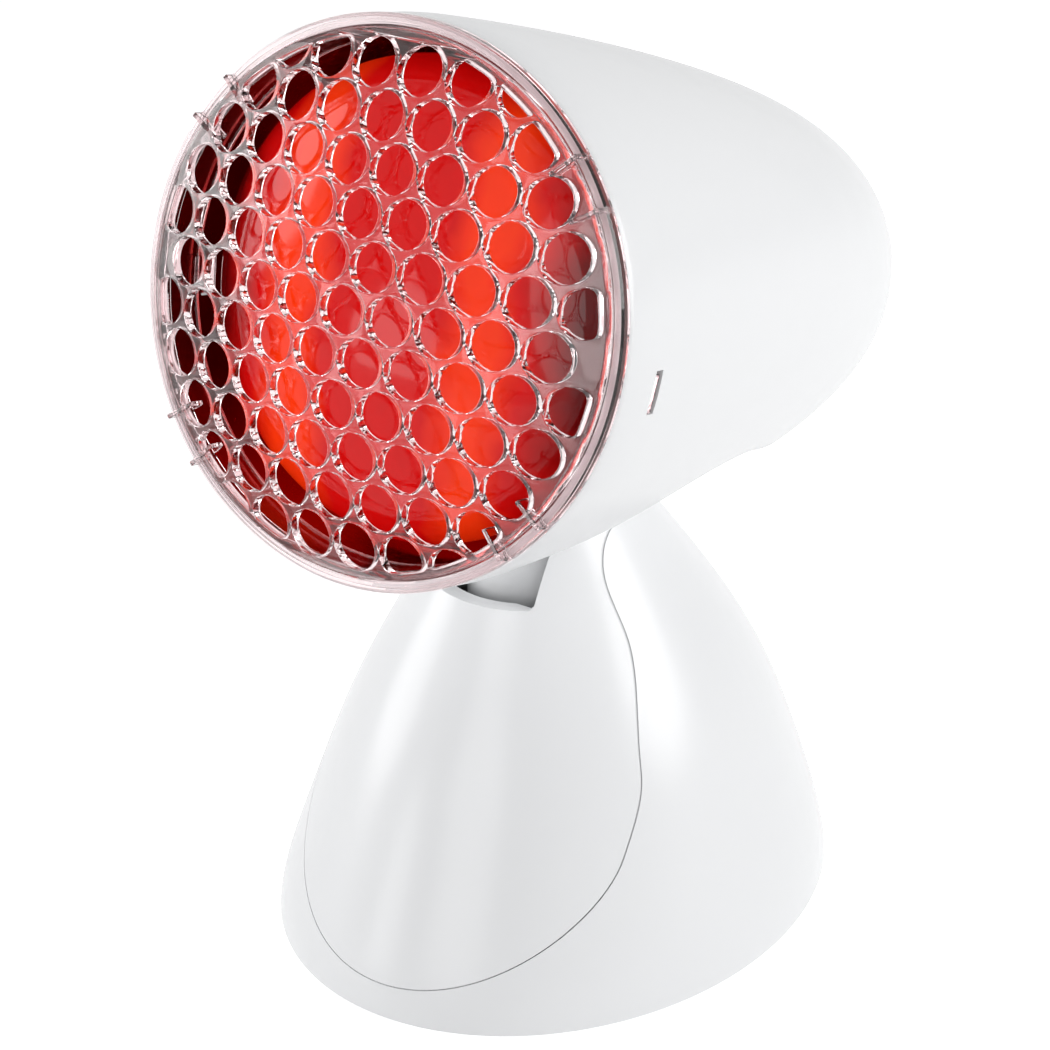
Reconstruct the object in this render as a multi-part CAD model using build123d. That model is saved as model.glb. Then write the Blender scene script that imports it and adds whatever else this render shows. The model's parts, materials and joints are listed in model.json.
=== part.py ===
from build123d import *
from math import cos, hypot, radians, sin, sqrt
import os

# Infrared heat therapy lamp on a tapered stand. Millimetres, +Z up, the lamp faces -Y.
# The origin is the middle of the stand's underside, and the lamp is symmetric about X = 0.
# Depths in the head are measured along its own axis, backward from the plane of its mouth.

# ---------------------------------------------------------------- driving dimensions

# Head: a body of revolution about its own axis, tilted up from -Y, in cones between the
# (radius, depth) points of its side, from the tail forward.
HEAD_TILT = 15.0
HEAD_CENTRE = (0, -65.4, 158.7)
HEAD_RADIUS = 55.7
HEAD_FRONT = 4.5
HEAD_SIDE = ((0, 177.0), (14.3, 175.2), (27.4, 166.0), (35.6, 149.0), (41.9, 126.0), (46.9, 98.0),
             (50.8, 68.0), (53.5, 38.0), (55.1, 14.0), (54.9, HEAD_FRONT))
HEAD_WALL = 2.2

# Scoop in the head's underside, which lets it nod over the stand: an arc through these
# (radius, depth) points, turned about an axis that lies above the head's own.
SCOOP_ARC = ((81.0, 28.4), (68.3, 80.5), (67.0, 132.7))
SCOOP_LIFT = 26.8

# Snap slots in the sides of the head, and the grille's hooks in them.
SLOT_DEPTH_IN = 17.0
SLOT_WIDTH = 2.6
SLOT_LENGTH = 9.0
SLOT_ANGLE = 6.0
HOOK_LENGTH = 7.6
HOOK_REACH = 2.2
HOOK_GAP = 0.3

# Shelf inside the head's tail, which carries the lamp holder.
SHELF_DEPTH = 150.0
SHELF_RADIUS = 38.0
SHELF_THICKNESS = 3.0
SHELF_BORE = 23.0
SHELF_SCREW_CIRCLE = 27.0
SHELF_SCREW_ANGLES = (30, 150, 270)

# Clear domed grille.
DOME_RISE = 8.8
DOME_RIM_RADIUS = 50.0
GRILLE_WALL = 2.4
GRILLE_RADIUS = 55.0
GRILLE_RIM_HEIGHT = 2.8
HOLE_PITCH = 10.5
HOLE_RADIUS = 4.8
HOLE_SIDES = 8
HOLE_FIELD_RADIUS = 50.7
HOLE_LEAST = 2.4
SKIRT_RADIUS = 52.2
SKIRT_WALL = 1.6
SKIRT_DEPTH = 8.0
TONGUE_ANGLES = (36.5, 143.5, -41.5, -138.5)
TONGUE_HALF_ANGLE = 6.3
TONGUE_SLIT = 1.0

# Stand: ellipses stacked along Z, as (height, half width, middle in Y).
STAND_SECTIONS = ((0, 57.5, 0), (10, 55.6, 0.2), (20, 52.6, 0.7), (40, 45.9, 1.0), (60, 37.2, 0.4),
                  (80, 26.6, -1.6), (100, 14.2, -5))
STAND_DEPTH_RATIO = 1.22
STAND_WALL = 3.4

# Front panel, laid into a pocket of the shell: its side runs through these (X, height) points,
# and its back edge lies in one plane of Y where the stand is narrower than that.
PANEL_SIDE = ((17.0, 101.0), (20.4, 87.7), (28.2, 71.8), (36.2, 50.9), (38.9, 33.0))
PANEL_BACK = -7.0
PANEL_BOTTOM = 7.2
PANEL_THICKNESS = 1.7
PANEL_GAP = 0.25
PANEL_SEAT_GAP = 0.05

# Tilt joint: the head's arm hangs on a pin in the stand's column.
PIVOT = (0, -6, 70)
TILT_DOWN = 10.0
TILT_UP = 10.0
TILT_STEP = 5.0
PIN_RADIUS = 3.0
PIN_RUNNING_GAP = 0.05
PIN_SEAT_GAP = 0.02
BUSH_WALL = 1.5
CLIP_RADIUS = 4.6
CLIP_THICKNESS = 0.8
ARM_WIDTH = 22.0
ARM_FRONT = -15.0
ARM_BACK = 8.0
ARM_TOP = 98.0
ARM_SCREW_X = 6.0
ARM_SCREW_Y = 2.0
ARM_SCREW_SEAT = 102.6
ARM_SCREW_LENGTH = 12.0
HUB_RADIUS = 12.0
NOTCH_HALF_WIDTH = 13.0
NOTCH_FLOOR = 81.5
NOD_GAP = 0.9
SECTOR_RADIUS = 17.5
SECTOR_BORE = 5.0
SECTOR_THICKNESS = 3.0
SECTOR_HALF_ANGLE = 30.0
DETENT_RADIUS = 0.9
DETENT_GAP = 0.3
SPRING_WIDTH = 8.0
SPRING_THICKNESS = 0.6
SPRING_SCREW_Z = 36.0

# Support column inside the stand.
EAR_THICKNESS = 4.0
EAR_GAP = 0.4
COLUMN_WIDTH = ARM_WIDTH + 2 * (EAR_GAP + EAR_THICKNESS)
COLUMN_DEPTH = 28.0
COLUMN_WALL = 3.0
COLUMN_SHOULDER = 50.0
EAR_RADIUS = 9.0
EAR_SLOPE = 75.96
FLANGE_MARGIN = 7.0
FLANGE_THICKNESS = 4.0
PLATE_BOTTOM = 1.0
PLATE_THICKNESS = 3.0
PLATE_GAP = 0.3

# Stand's fixings: feet, corner bosses, cable entry, clamp and terminals, as (X, Y).
FOOT_PLACE = (24.0, 50.0)
FOOT_RADIUS = 6.5
FOOT_POCKET = 1.0
FOOT_GAP = 0.1
BOSS_PLACE = (36.0, 36.0)
BOSS_RADIUS = 4.0
BOSS_TOP = 30.0
GLAND_HEIGHT = 14.0
GLAND_FACE = 64.6
GLAND_BORE = 3.2
GLAND_BODY = 5.5
GLAND_FLANGE = 7.5
GLAND_FLANGE_THICKNESS = 1.8
GLAND_LENGTH = 14.0
NUT_PLACE = 4.8
NUT_THICKNESS = 4.0
POSTS = ((8.0, 42.0, 7.0), (11.5, 24.0, 3.0))
POST_RADIUS = 3.2
CLAMP_SIZE = (23.0, 8.0, 4.0)
TERMINAL_SIZE = (30.0, 14.0, 11.0)
TERMINAL_X = 4.5

# Bulb: a reflector lamp of 95 mm with a 27 mm screw cap, and its ceramic holder.
# Its glass is cones between the (radius, depth) points of its outside and its lining.
BULB_SIDE = ((0, 4.0), (22.0, 5.6), (41.0, 9.5), (46.2, 13.0), (47.5, 18.0), (46.2, 33.0),
             (30.0, 69.5), (15.0, 95.0), (12.55, 111.0))
BULB_LINING = ((11.5, 111.0), (14.0, 94.6), (45.0, 32.6), (46.2, 18.0), (39.7, 10.8), (0, 5.6))
CAP_RADIUS = 13.2
CAP_WALL = 0.6
CAP_GAP = 0.05
CAP_DEPTH = 115.0
CAP_LENGTH = 19.0
INSULATOR_LENGTH = 4.0
CONTACT_RADIUS = 4.5
CONTACT_THICKNESS = 1.0
CONTACT_SPRING = 1.0
STEM_RADIUS = 4.0
STEM_TOP = 78.0
FILAMENT_DEPTH = 50.0
FILAMENT_CIRCLE = 11.0
HOLDER_RADIUS = 20.0
HOLDER_FRONT = 117.0
HOLDER_GAP = 0.5
HOLDER_SCREW_CIRCLE = 16.6
BRACKET_RADIUS = 30.0
BRACKET_THICKNESS = 1.5
WIRE_HOLE_RADIUS = 3.5
WIRE_HOLE_Y = -17.0

# One screw serves everywhere.
SCREW_RADIUS = 1.4
SCREW_GAP = 0.1
SCREW_HEAD_RADIUS = 2.8
SCREW_HEAD_HEIGHT = 1.8
SCREW_REACH = 9.0

head_plane = Plane(
    origin=HEAD_CENTRE,
    x_dir=(1, 0, 0),
    z_dir=(0, -cos(radians(HEAD_TILT)), sin(radians(HEAD_TILT))),
)
SIDE_PLANE = Plane((0, 0, 0), x_dir=(0, 1, 0), z_dir=(1, 0, 0))
PLATE_TOP = PLATE_BOTTOM + PLATE_THICKNESS
FLANGE_PLACE = (COLUMN_WIDTH / 2 + FLANGE_MARGIN / 2, COLUMN_DEPTH / 2 - 4)
pieces = {}


# ---------------------------------------------------------------- shared helpers


def on_head(shape):
    """A shape drawn about the head's axis, with its mouth up +Z, set in its place."""
    return head_plane.location * shape


def nodded(shape, angle):
    """A shape drawn about the head's axis, set in place and turned about the tilt pin."""
    return on_head(shape).rotate(Axis(PIVOT, (1, 0, 0)), angle)


def spin(*profile):
    """A closed outline in X (radius) and Z, turned about the Z axis."""
    return revolve(make_face(Curve() + list(profile)), Axis.Z)


def disc(radius, bottom, top):
    """A round block about the Z axis."""
    return Pos(0, 0, bottom) * extrude(Circle(radius), top - bottom)


def ring(outer, inner, bottom, top):
    """A plain ring about the Z axis."""
    return disc(outer, bottom, top) - disc(inner, bottom, top)


def rod(radius, start, end):
    """A round rod from one point to another."""
    axis = Vector(*end) - Vector(*start)
    return extrude(Plane(origin=start, z_dir=axis) * Circle(radius), axis.length)


def around_head(angle, radius, depth, shape):
    """A shape about the origin, set at an angle round the head's axis, its +X pointing outward."""
    return Rot(0, 0, angle) * Pos(radius, 0, -depth) * shape


def cross_bar(radius, half_width, centre=PIVOT):
    """A round bar along X through a point on the plane of symmetry."""
    return rod(radius, (-half_width, centre[1], centre[2]), (half_width, centre[1], centre[2]))


def screw(length):
    """A pan-head screw: the head stands up from the origin and the shank points down."""
    head = extrude(Circle(SCREW_HEAD_RADIUS), SCREW_HEAD_HEIGHT)
    head -= Pos(0, 0, SCREW_HEAD_HEIGHT) * (Box(3, 0.7, 1.6) + Box(0.7, 3, 1.6))
    return head + extrude(Circle(SCREW_RADIUS), -length)


def screw_hole(length):
    """The clearance hole for a screw, through a length either way from the origin."""
    return Cylinder(SCREW_RADIUS + SCREW_GAP, 2 * length)


# ---------------------------------------------------------------- head


def moved_side(side, grow):
    """Points in the XZ plane for the (radius, depth) points of a side, moved outward by grow."""
    points = [Vector(radius, 0, -depth) for radius, depth in side]
    neighbours = [Vector(-points[1].X, 0, points[1].Z), *points, points[-1]]
    moved = []
    for before, point, after in zip(neighbours, points, neighbours[2:]):
        along = (after - before).normalized()
        moved.append(point + Vector(along.Z, 0, -along.X) * grow)
    return moved


def head_form(grow=0.0):
    """The head as a solid without its scoop, its surface moved outward by grow.

    A hollow, with grow below zero, also runs forward through the mouth.
    """
    side = moved_side(HEAD_SIDE, grow)
    mouth = max(-grow, 0) - HEAD_FRONT
    side[-1] = Vector(side[-1].X, 0, mouth)
    return spin(Polyline(*side, (0, 0, mouth), side[0]))


def scoop_tool(grow=0.0):
    """What the scoop takes away from the head's underside, its floor moved outward by grow."""
    front, middle, back = (Vector(radius + grow, 0, -depth) for radius, depth in SCOOP_ARC)
    far = front.X + 20
    sides = Polyline(back, (far, 0, back.Z), (far, 0, front.Z), front)
    return Pos(0, SCOOP_LIFT, 0) * spin(ThreePointArc(front, middle, back), sides)


def head_solid(grow=0.0):
    """The head's outer shape with its scoop, moved outward by grow."""
    return head_form(grow) - scoop_tool(grow)


def make_head_housing():
    shelf = ring(SHELF_RADIUS, SHELF_BORE, -SHELF_DEPTH - SHELF_THICKNESS, -SHELF_DEPTH)
    housing = head_solid() - head_solid(-HEAD_WALL) + (shelf & head_form(-HEAD_WALL / 2))
    for angle in (-SLOT_ANGLE, 180 + SLOT_ANGLE):
        slot = Box(10, SLOT_LENGTH, SLOT_WIDTH)
        housing -= around_head(angle, HEAD_RADIUS, SLOT_DEPTH_IN, slot)
    for angle in SHELF_SCREW_ANGLES:
        housing -= around_head(angle, SHELF_SCREW_CIRCLE, SHELF_DEPTH, screw_hole(5))
    housing = on_head(housing)
    for x in (-ARM_SCREW_X, ARM_SCREW_X):
        seat = disc(SCREW_HEAD_RADIUS + 0.8, ARM_TOP, ARM_SCREW_SEAT)
        housing += Pos(x, ARM_SCREW_Y, 0) * seat & on_head(head_solid(-HEAD_WALL / 2))
        housing -= Pos(x, ARM_SCREW_Y, ARM_TOP) * screw_hole(10)
    pieces["head_housing"] = housing - Pos(0, WIRE_HOLE_Y, ARM_TOP) * Cylinder(WIRE_HOLE_RADIUS, 20)


# ---------------------------------------------------------------- grille


def hole_places():
    """Middles of the grille's holes: a honeycomb about the head's axis, out to the border."""
    places = []
    for row in range(-6, 7):
        for column in range(-6, 7):
            x = (column + row % 2 / 2) * HOLE_PITCH
            y = row * HOLE_PITCH * sqrt(3) / 2
            in_reach = hypot(x, y) < HOLE_FIELD_RADIUS + HOLE_RADIUS - HOLE_LEAST
            if in_reach and abs(x) < HOLE_FIELD_RADIUS:
                places.append((x, y))
    return places


def grille_blank():
    """The grille before its holes: a dome, a grooved rim and a skirt that enters the head."""
    curve = (DOME_RIM_RADIUS**2 + DOME_RISE**2) / (2 * DOME_RISE)
    middle = DOME_RISE - curve

    def on_dome(radius, drop=0.0):
        return Vector(radius, 0, middle + sqrt((curve - drop) ** 2 - radius**2))

    edge = SKIRT_RADIUS - 0.4
    inside = SKIRT_RADIUS - SKIRT_WALL
    seat = -HEAD_FRONT
    bead = seat + GRILLE_RIM_HEIGHT
    rim = Polyline(
        on_dome(edge),
        (SKIRT_RADIUS, 0, bead - 0.9),
        (SKIRT_RADIUS + 0.7, 0, bead - 0.9),
        (SKIRT_RADIUS + 1.0, 0, bead),
        (GRILLE_RADIUS - 0.5, 0, bead),
        (GRILLE_RADIUS, 0, bead - 0.5),
        (GRILLE_RADIUS, 0, seat),
        (SKIRT_RADIUS, 0, seat),
        (SKIRT_RADIUS, 0, seat - SKIRT_DEPTH),
        (inside, 0, seat - SKIRT_DEPTH),
        (inside, 0, seat),
        on_dome(inside - 0.4, GRILLE_WALL),
    )
    outside = ThreePointArc(on_dome(0), on_dome(edge / 2), on_dome(edge))
    lining = ThreePointArc(on_dome(inside - 0.4, GRILLE_WALL), on_dome(edge / 2, GRILLE_WALL),
                           on_dome(0, GRILLE_WALL))
    return spin(outside, rim, lining, Line(on_dome(0, GRILLE_WALL), on_dome(0)))


def make_grille():
    grille = grille_blank()
    holes = Sketch() + [Pos(*place) * RegularPolygon(HOLE_RADIUS, HOLE_SIDES) for place in hole_places()]
    grille -= Pos(0, 0, -HEAD_FRONT) * extrude(holes & Circle(HOLE_FIELD_RADIUS), 20)
    for angle in TONGUE_ANGLES:
        for side in (-TONGUE_HALF_ANGLE, TONGUE_HALF_ANGLE):
            grille -= around_head(angle + side, SKIRT_RADIUS + 2, 6, Box(6, TONGUE_SLIT, 24))
    strip_end = SLOT_DEPTH_IN + SLOT_WIDTH / 2 - HOOK_GAP
    strip_length = strip_end - HEAD_FRONT - SKIRT_DEPTH + 1
    outward = (Align.MAX, Align.CENTER, Align.MIN)
    strip = Box(SKIRT_WALL, HOOK_LENGTH, strip_length, align=outward)
    barb = Box(HOOK_REACH + SKIRT_WALL, HOOK_LENGTH, SLOT_WIDTH - 2 * HOOK_GAP, align=outward)
    for angle in (-SLOT_ANGLE, 180 + SLOT_ANGLE):
        grille += around_head(angle, SKIRT_RADIUS, strip_end, strip)
        grille += around_head(angle, SKIRT_RADIUS + HOOK_REACH, strip_end, barb)
    pieces["protective_grille"] = on_head(grille)


# ---------------------------------------------------------------- bulb and holder


def bulb_glass():
    """The bulb's glass envelope, open at the end that the cap closes."""
    end = -CAP_DEPTH - 6
    outside = [(radius, 0, -depth) for radius, depth in BULB_SIDE]
    lining = [(radius, 0, -depth) for radius, depth in BULB_LINING]
    neck = [(BULB_SIDE[-1][0], 0, end), (BULB_LINING[0][0], 0, end)]
    return spin(Polyline(*outside, *neck, *lining, outside[0]))


def make_bulb():
    """Glass, screw cap, insulator, contact, stem and filament, each about the head's axis."""
    cap_end = CAP_DEPTH + CAP_LENGTH
    cap_bore = CAP_RADIUS - CAP_WALL
    cap = ring(CAP_RADIUS, cap_bore, -cap_end, -CAP_DEPTH)
    insulator = Pos(0, 0, -cap_end - INSULATOR_LENGTH / 2) * Cone(
        CONTACT_RADIUS + 0.6, CAP_RADIUS - 0.3, INSULATOR_LENGTH)
    insulator_end = -cap_end - INSULATOR_LENGTH
    stem_foot = -CAP_DEPTH - 4
    foot_radius = BULB_LINING[0][0] - CAP_GAP
    stem = disc(STEM_RADIUS, stem_foot, -STEM_TOP) + disc(foot_radius, stem_foot, stem_foot + 1.2)
    bends = []
    for angle in (45, 99, 153, 207, 261, 315):
        turn = radians(angle)
        bends.append((FILAMENT_CIRCLE * cos(turn), FILAMENT_CIRCLE * sin(turn), -FILAMENT_DEPTH))
    wire = Polyline((2, 2, -STEM_TOP), *bends, (2, -2, -STEM_TOP))
    coil = sweep(Plane(origin=wire @ 0, z_dir=wire % 0) * Rectangle(0.9, 0.9), wire, transition=Transition.RIGHT)
    pieces["bulb_glass"] = on_head(bulb_glass())
    pieces["bulb_cap"] = on_head(cap)
    pieces["cap_insulator"] = on_head(insulator)
    pieces["cap_contact"] = on_head(disc(CONTACT_RADIUS, insulator_end - CONTACT_THICKNESS, insulator_end))
    pieces["filament_stem"] = on_head(stem)
    pieces["filament"] = on_head(coil)


def make_holder():
    """The ceramic lamp holder, its contact, the plate that carries it, and their screws."""
    back = SHELF_DEPTH - BRACKET_THICKNESS
    bore_end = CAP_DEPTH + CAP_LENGTH + INSULATOR_LENGTH + CONTACT_THICKNESS + CONTACT_SPRING
    body = disc(HOLDER_RADIUS, -back, -HOLDER_FRONT)
    body = chamfer(body.edges().group_by(Axis.Z)[-1], 2)
    body -= disc(CAP_RADIUS + HOLDER_GAP, -bore_end, 0)
    plate = ring(BRACKET_RADIUS, WIRE_HOLE_RADIUS, -SHELF_DEPTH, -back)
    holder_screws = []
    for angle in (0, 180):
        body -= around_head(angle, HOLDER_SCREW_CIRCLE, back, screw_hole(8))
        plate -= around_head(angle, HOLDER_SCREW_CIRCLE, back, screw_hole(5))
        turned = Rot(180, 0, 0) * screw(8)
        holder_screws.append(around_head(angle, HOLDER_SCREW_CIRCLE, SHELF_DEPTH, turned))
    plate_screws = []
    for angle in SHELF_SCREW_ANGLES:
        plate -= around_head(angle, SHELF_SCREW_CIRCLE, back, screw_hole(5))
        plate_screws.append(around_head(angle, SHELF_SCREW_CIRCLE, back, screw(6)))
    pieces["lamp_holder"] = on_head(body)
    pieces["holder_contact"] = on_head(disc(CONTACT_RADIUS, -bore_end, -bore_end + CONTACT_SPRING))
    pieces["holder_plate"] = on_head(plate)
    pieces["holder_screws"] = on_head(Compound(children=holder_screws))
    pieces["plate_screws"] = on_head(Compound(children=plate_screws))


# ---------------------------------------------------------------- stand


def stand_form(inset=0.0, lift=0.0):
    """The stand's outer shape as a solid, moved inward by inset, its underside moved by lift."""
    rings = []
    for height, half_width, middle in STAND_SECTIONS:
        level = height + (lift if height == 0 else 0)
        sizes = half_width - inset, half_width * STAND_DEPTH_RATIO - inset
        rings.append(Plane(origin=(0, middle, level)) * Ellipse(*sizes))
    return loft(rings)


def nod_space(gap):
    """The room that the head sweeps as it nods, with a gap all round."""
    solid = head_solid(gap)
    return nodded(solid, -TILT_UP) + nodded(solid, 0) + nodded(solid, TILT_DOWN)


def panel_prism(grow=0.0):
    """The front panel's teardrop outline, drawn across the stand and run forward."""
    low_x, low_z = PANEL_SIDE[-1]
    right = Spline([Vector(x + grow, z) for x, z in PANEL_SIDE], tangents=[(0.2, -1), (0, -1)])
    left = mirror(right, Plane.YZ)
    bottom = EllipticalCenterArc((0, low_z), low_x + grow, low_z - PANEL_BOTTOM + grow,
                                 start_angle=180, arc_size=180)
    face = make_face(Curve() + [right, bottom, left, Line(left @ 0, right @ 0)])
    return extrude(Plane.XZ.offset(-PANEL_BACK - grow) * face, 100)


def arm_opening():
    """The way for the head's arm through the stand's top, and the notch in front of it."""
    way = Box(ARM_WIDTH + 2, 44, 60, align=(Align.CENTER, Align.CENTER, Align.MIN))
    notch = Box(2 * NOTCH_HALF_WIDTH, 60, 60, align=(Align.CENTER, Align.MAX, Align.MIN))
    notch = fillet(notch.edges().filter_by(Axis.Y).group_by(Axis.Z)[0], 1.2)
    return Pos(0, PIVOT[1], NOTCH_FLOOR - 4) * way + Pos(0, ARM_FRONT, NOTCH_FLOOR) * notch


def corners(place, shape, middle=0):
    """Copies of a shape at the four places (+-X, +-Y) about a middle in Y."""
    x, y = place
    return [Pos(side * x, middle + end * y, 0) * shape for side in (-1, 1) for end in (-1, 1)]


def make_base_shell():
    """The stand's one-piece shell, and the front panel in its pocket."""
    space = nod_space(NOD_GAP)
    hollow = stand_form(STAND_WALL, lift=-1) - nod_space(NOD_GAP + STAND_WALL)
    shell = stand_form() - hollow
    shell -= (stand_form(-1) - stand_form(PANEL_THICKNESS)) & panel_prism(PANEL_GAP)
    for boss in corners(BOSS_PLACE, disc(BOSS_RADIUS, PLATE_TOP, BOSS_TOP)):
        shell += boss & stand_form(STAND_WALL / 2)
    for hole in corners(BOSS_PLACE, disc(SCREW_RADIUS + SCREW_GAP, 0, PLATE_TOP + SCREW_REACH)):
        shell -= hole
    shell -= space
    shell -= arm_opening()
    shell -= rod(GLAND_BODY + 0.1, (0, 50, GLAND_HEIGHT), (0, 90, GLAND_HEIGHT))
    shell -= rod(GLAND_FLANGE + 0.2, (0, GLAND_FACE, GLAND_HEIGHT), (0, 90, GLAND_HEIGHT))
    panel = (stand_form() - stand_form(PANEL_THICKNESS - PANEL_SEAT_GAP)) & panel_prism()
    pieces["base_shell"] = shell
    pieces["front_panel"] = panel - space - arm_opening()


def make_bottom():
    """Bottom plate with its feet and screws."""
    slab = Pos(0, 0, PLATE_BOTTOM) * extrude(Rectangle(200, 200), PLATE_THICKNESS)
    plate = slab & stand_form(STAND_WALL + PLATE_GAP, lift=-1)
    seat = PLATE_BOTTOM + SCREW_HEAD_HEIGHT + 0.2
    pocket_top = PLATE_BOTTOM + FOOT_POCKET
    upward = Pos(0, 0, seat) * Rot(180, 0, 0)
    plate_holes = corners(BOSS_PLACE, screw_hole(20)) + corners(FLANGE_PLACE, screw_hole(20), PIVOT[1])
    counterbore = disc(SCREW_HEAD_RADIUS + 0.3, 0, seat)
    plate_holes += corners(BOSS_PLACE, counterbore) + corners(FLANGE_PLACE, counterbore, PIVOT[1])
    plate_holes += corners(FOOT_PLACE, disc(FOOT_RADIUS + FOOT_GAP, 0, pocket_top))
    for hole in plate_holes:
        plate -= hole
    for x, y, height in POSTS:
        post = ring(POST_RADIUS, SCREW_RADIUS + SCREW_GAP, PLATE_TOP, PLATE_TOP + height)
        plate += Pos(x, y, 0) * post
        plate += Pos(-x, y, 0) * post
    long_screw = upward * screw(SCREW_REACH)
    short_screw = upward * screw(FLANGE_THICKNESS + 1)
    pieces["bottom_plate"] = plate
    pieces["rubber_feet"] = Compound(children=corners(FOOT_PLACE, disc(FOOT_RADIUS, 0, pocket_top)))
    pieces["bottom_screws"] = Compound(children=corners(BOSS_PLACE, long_screw))
    pieces["column_screws"] = Compound(children=corners(FLANGE_PLACE, short_screw, PIVOT[1]))


def make_wiring():
    """The cable entry, the clamp bar behind it and the terminal block."""
    gland = rod(GLAND_BODY, (0, GLAND_FACE - GLAND_LENGTH, GLAND_HEIGHT), (0, GLAND_FACE, GLAND_HEIGHT))
    flange_end = (0, GLAND_FACE + GLAND_FLANGE_THICKNESS, GLAND_HEIGHT)
    gland += rod(GLAND_FLANGE, (0, GLAND_FACE, GLAND_HEIGHT), flange_end)
    gland -= rod(GLAND_BORE, (0, 0, GLAND_HEIGHT), (0, 90, GLAND_HEIGHT))
    nut = Plane((0, GLAND_FACE - NUT_PLACE, GLAND_HEIGHT), z_dir=(0, 1, 0)) * RegularPolygon(8.4, 6)
    nut = extrude(nut, -NUT_THICKNESS)
    nut -= rod(GLAND_BODY + 0.02, (0, 0, GLAND_HEIGHT), (0, 90, GLAND_HEIGHT))
    clamp_x, clamp_y, clamp_height = POSTS[0]
    bar = Box(*CLAMP_SIZE, align=(Align.CENTER, Align.CENTER, Align.MIN))
    bar -= Pos(0, 0, -1.2) * Rot(90, 0, 0) * Cylinder(GLAND_BORE, 20)
    block_x, block_y, block_height = POSTS[1]
    block = Box(*TERMINAL_SIZE, align=(Align.CENTER, Align.CENTER, Align.MIN))
    top = TERMINAL_SIZE[2]
    terminals = []
    for side in (-1, 1):
        bar -= Pos(side * clamp_x, 0, 0) * screw_hole(10)
        block -= Pos(side * block_x, 0, 0) * screw_hole(20)
        block -= Pos(side * TERMINAL_X, 0, top / 2) * Rot(90, 0, 0) * Cylinder(1.6, 30)
        block -= Pos(side * TERMINAL_X, 0, 0) * disc(SCREW_HEAD_RADIUS - 0.3, top / 2, top + 1)
        terminals.append(Pos(side * TERMINAL_X, block_y, PLATE_TOP + block_height + top / 2 + 1.6)
                         * disc(SCREW_HEAD_RADIUS - 0.4, 0, 3))
    clamp_top = PLATE_TOP + clamp_height + CLAMP_SIZE[2]
    block_top = PLATE_TOP + block_height + top
    clamp_screws = [Pos(side * clamp_x, clamp_y, clamp_top) * screw(7) for side in (-1, 1)]
    block_screws = [Pos(side * block_x, block_y, block_top) * screw(top + 3) for side in (-1, 1)]
    pieces["cable_gland"] = gland
    pieces["gland_nut"] = nut
    pieces["cord_clamp"] = Pos(0, clamp_y, PLATE_TOP + clamp_height) * bar
    pieces["clamp_screws"] = Compound(children=clamp_screws)
    pieces["terminal_block"] = Pos(0, block_y, PLATE_TOP + block_height) * block
    pieces["terminal_screws"] = Compound(children=terminals + block_screws)


def upright(low, high, *size):
    """A block on the column's middle line, of a size in X and Y, between two heights."""
    return Pos(0, PIVOT[1], low) * extrude(Rectangle(*size), high - low)


def make_column():
    """The column that stands on the bottom plate and holds the tilt pin between two ears."""
    column = upright(PLATE_TOP, COLUMN_SHOULDER, COLUMN_WIDTH, COLUMN_DEPTH)
    column += upright(PLATE_TOP, PLATE_TOP + FLANGE_THICKNESS, COLUMN_WIDTH + 2 * FLANGE_MARGIN, COLUMN_DEPTH)
    rise = PIVOT[2] - COLUMN_SHOULDER
    ear = Pos(0, COLUMN_SHOULDER + rise / 2) * Trapezoid(COLUMN_DEPTH, rise, EAR_SLOPE)
    ear += Pos(0, PIVOT[2]) * Circle(EAR_RADIUS)
    column += extrude(SIDE_PLANE * Pos(PIVOT[1], 0) * ear, COLUMN_WIDTH / 2, both=True)
    column -= upright(0, 100, COLUMN_WIDTH - 2 * EAR_THICKNESS, COLUMN_DEPTH - 2 * COLUMN_WALL)
    column -= upright(COLUMN_SHOULDER, 100, COLUMN_WIDTH - 2 * EAR_THICKNESS, 2 * COLUMN_DEPTH)
    column -= cross_bar(PIN_RADIUS + PIN_SEAT_GAP, COLUMN_WIDTH)
    for hole in corners(FLANGE_PLACE, screw_hole(12), PIVOT[1]):
        column -= hole
    column -= Pos(0, PIVOT[1] + COLUMN_DEPTH / 2, SPRING_SCREW_Z) * Rot(90, 0, 0) * screw_hole(COLUMN_WALL)
    pieces["support_column"] = column


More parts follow.
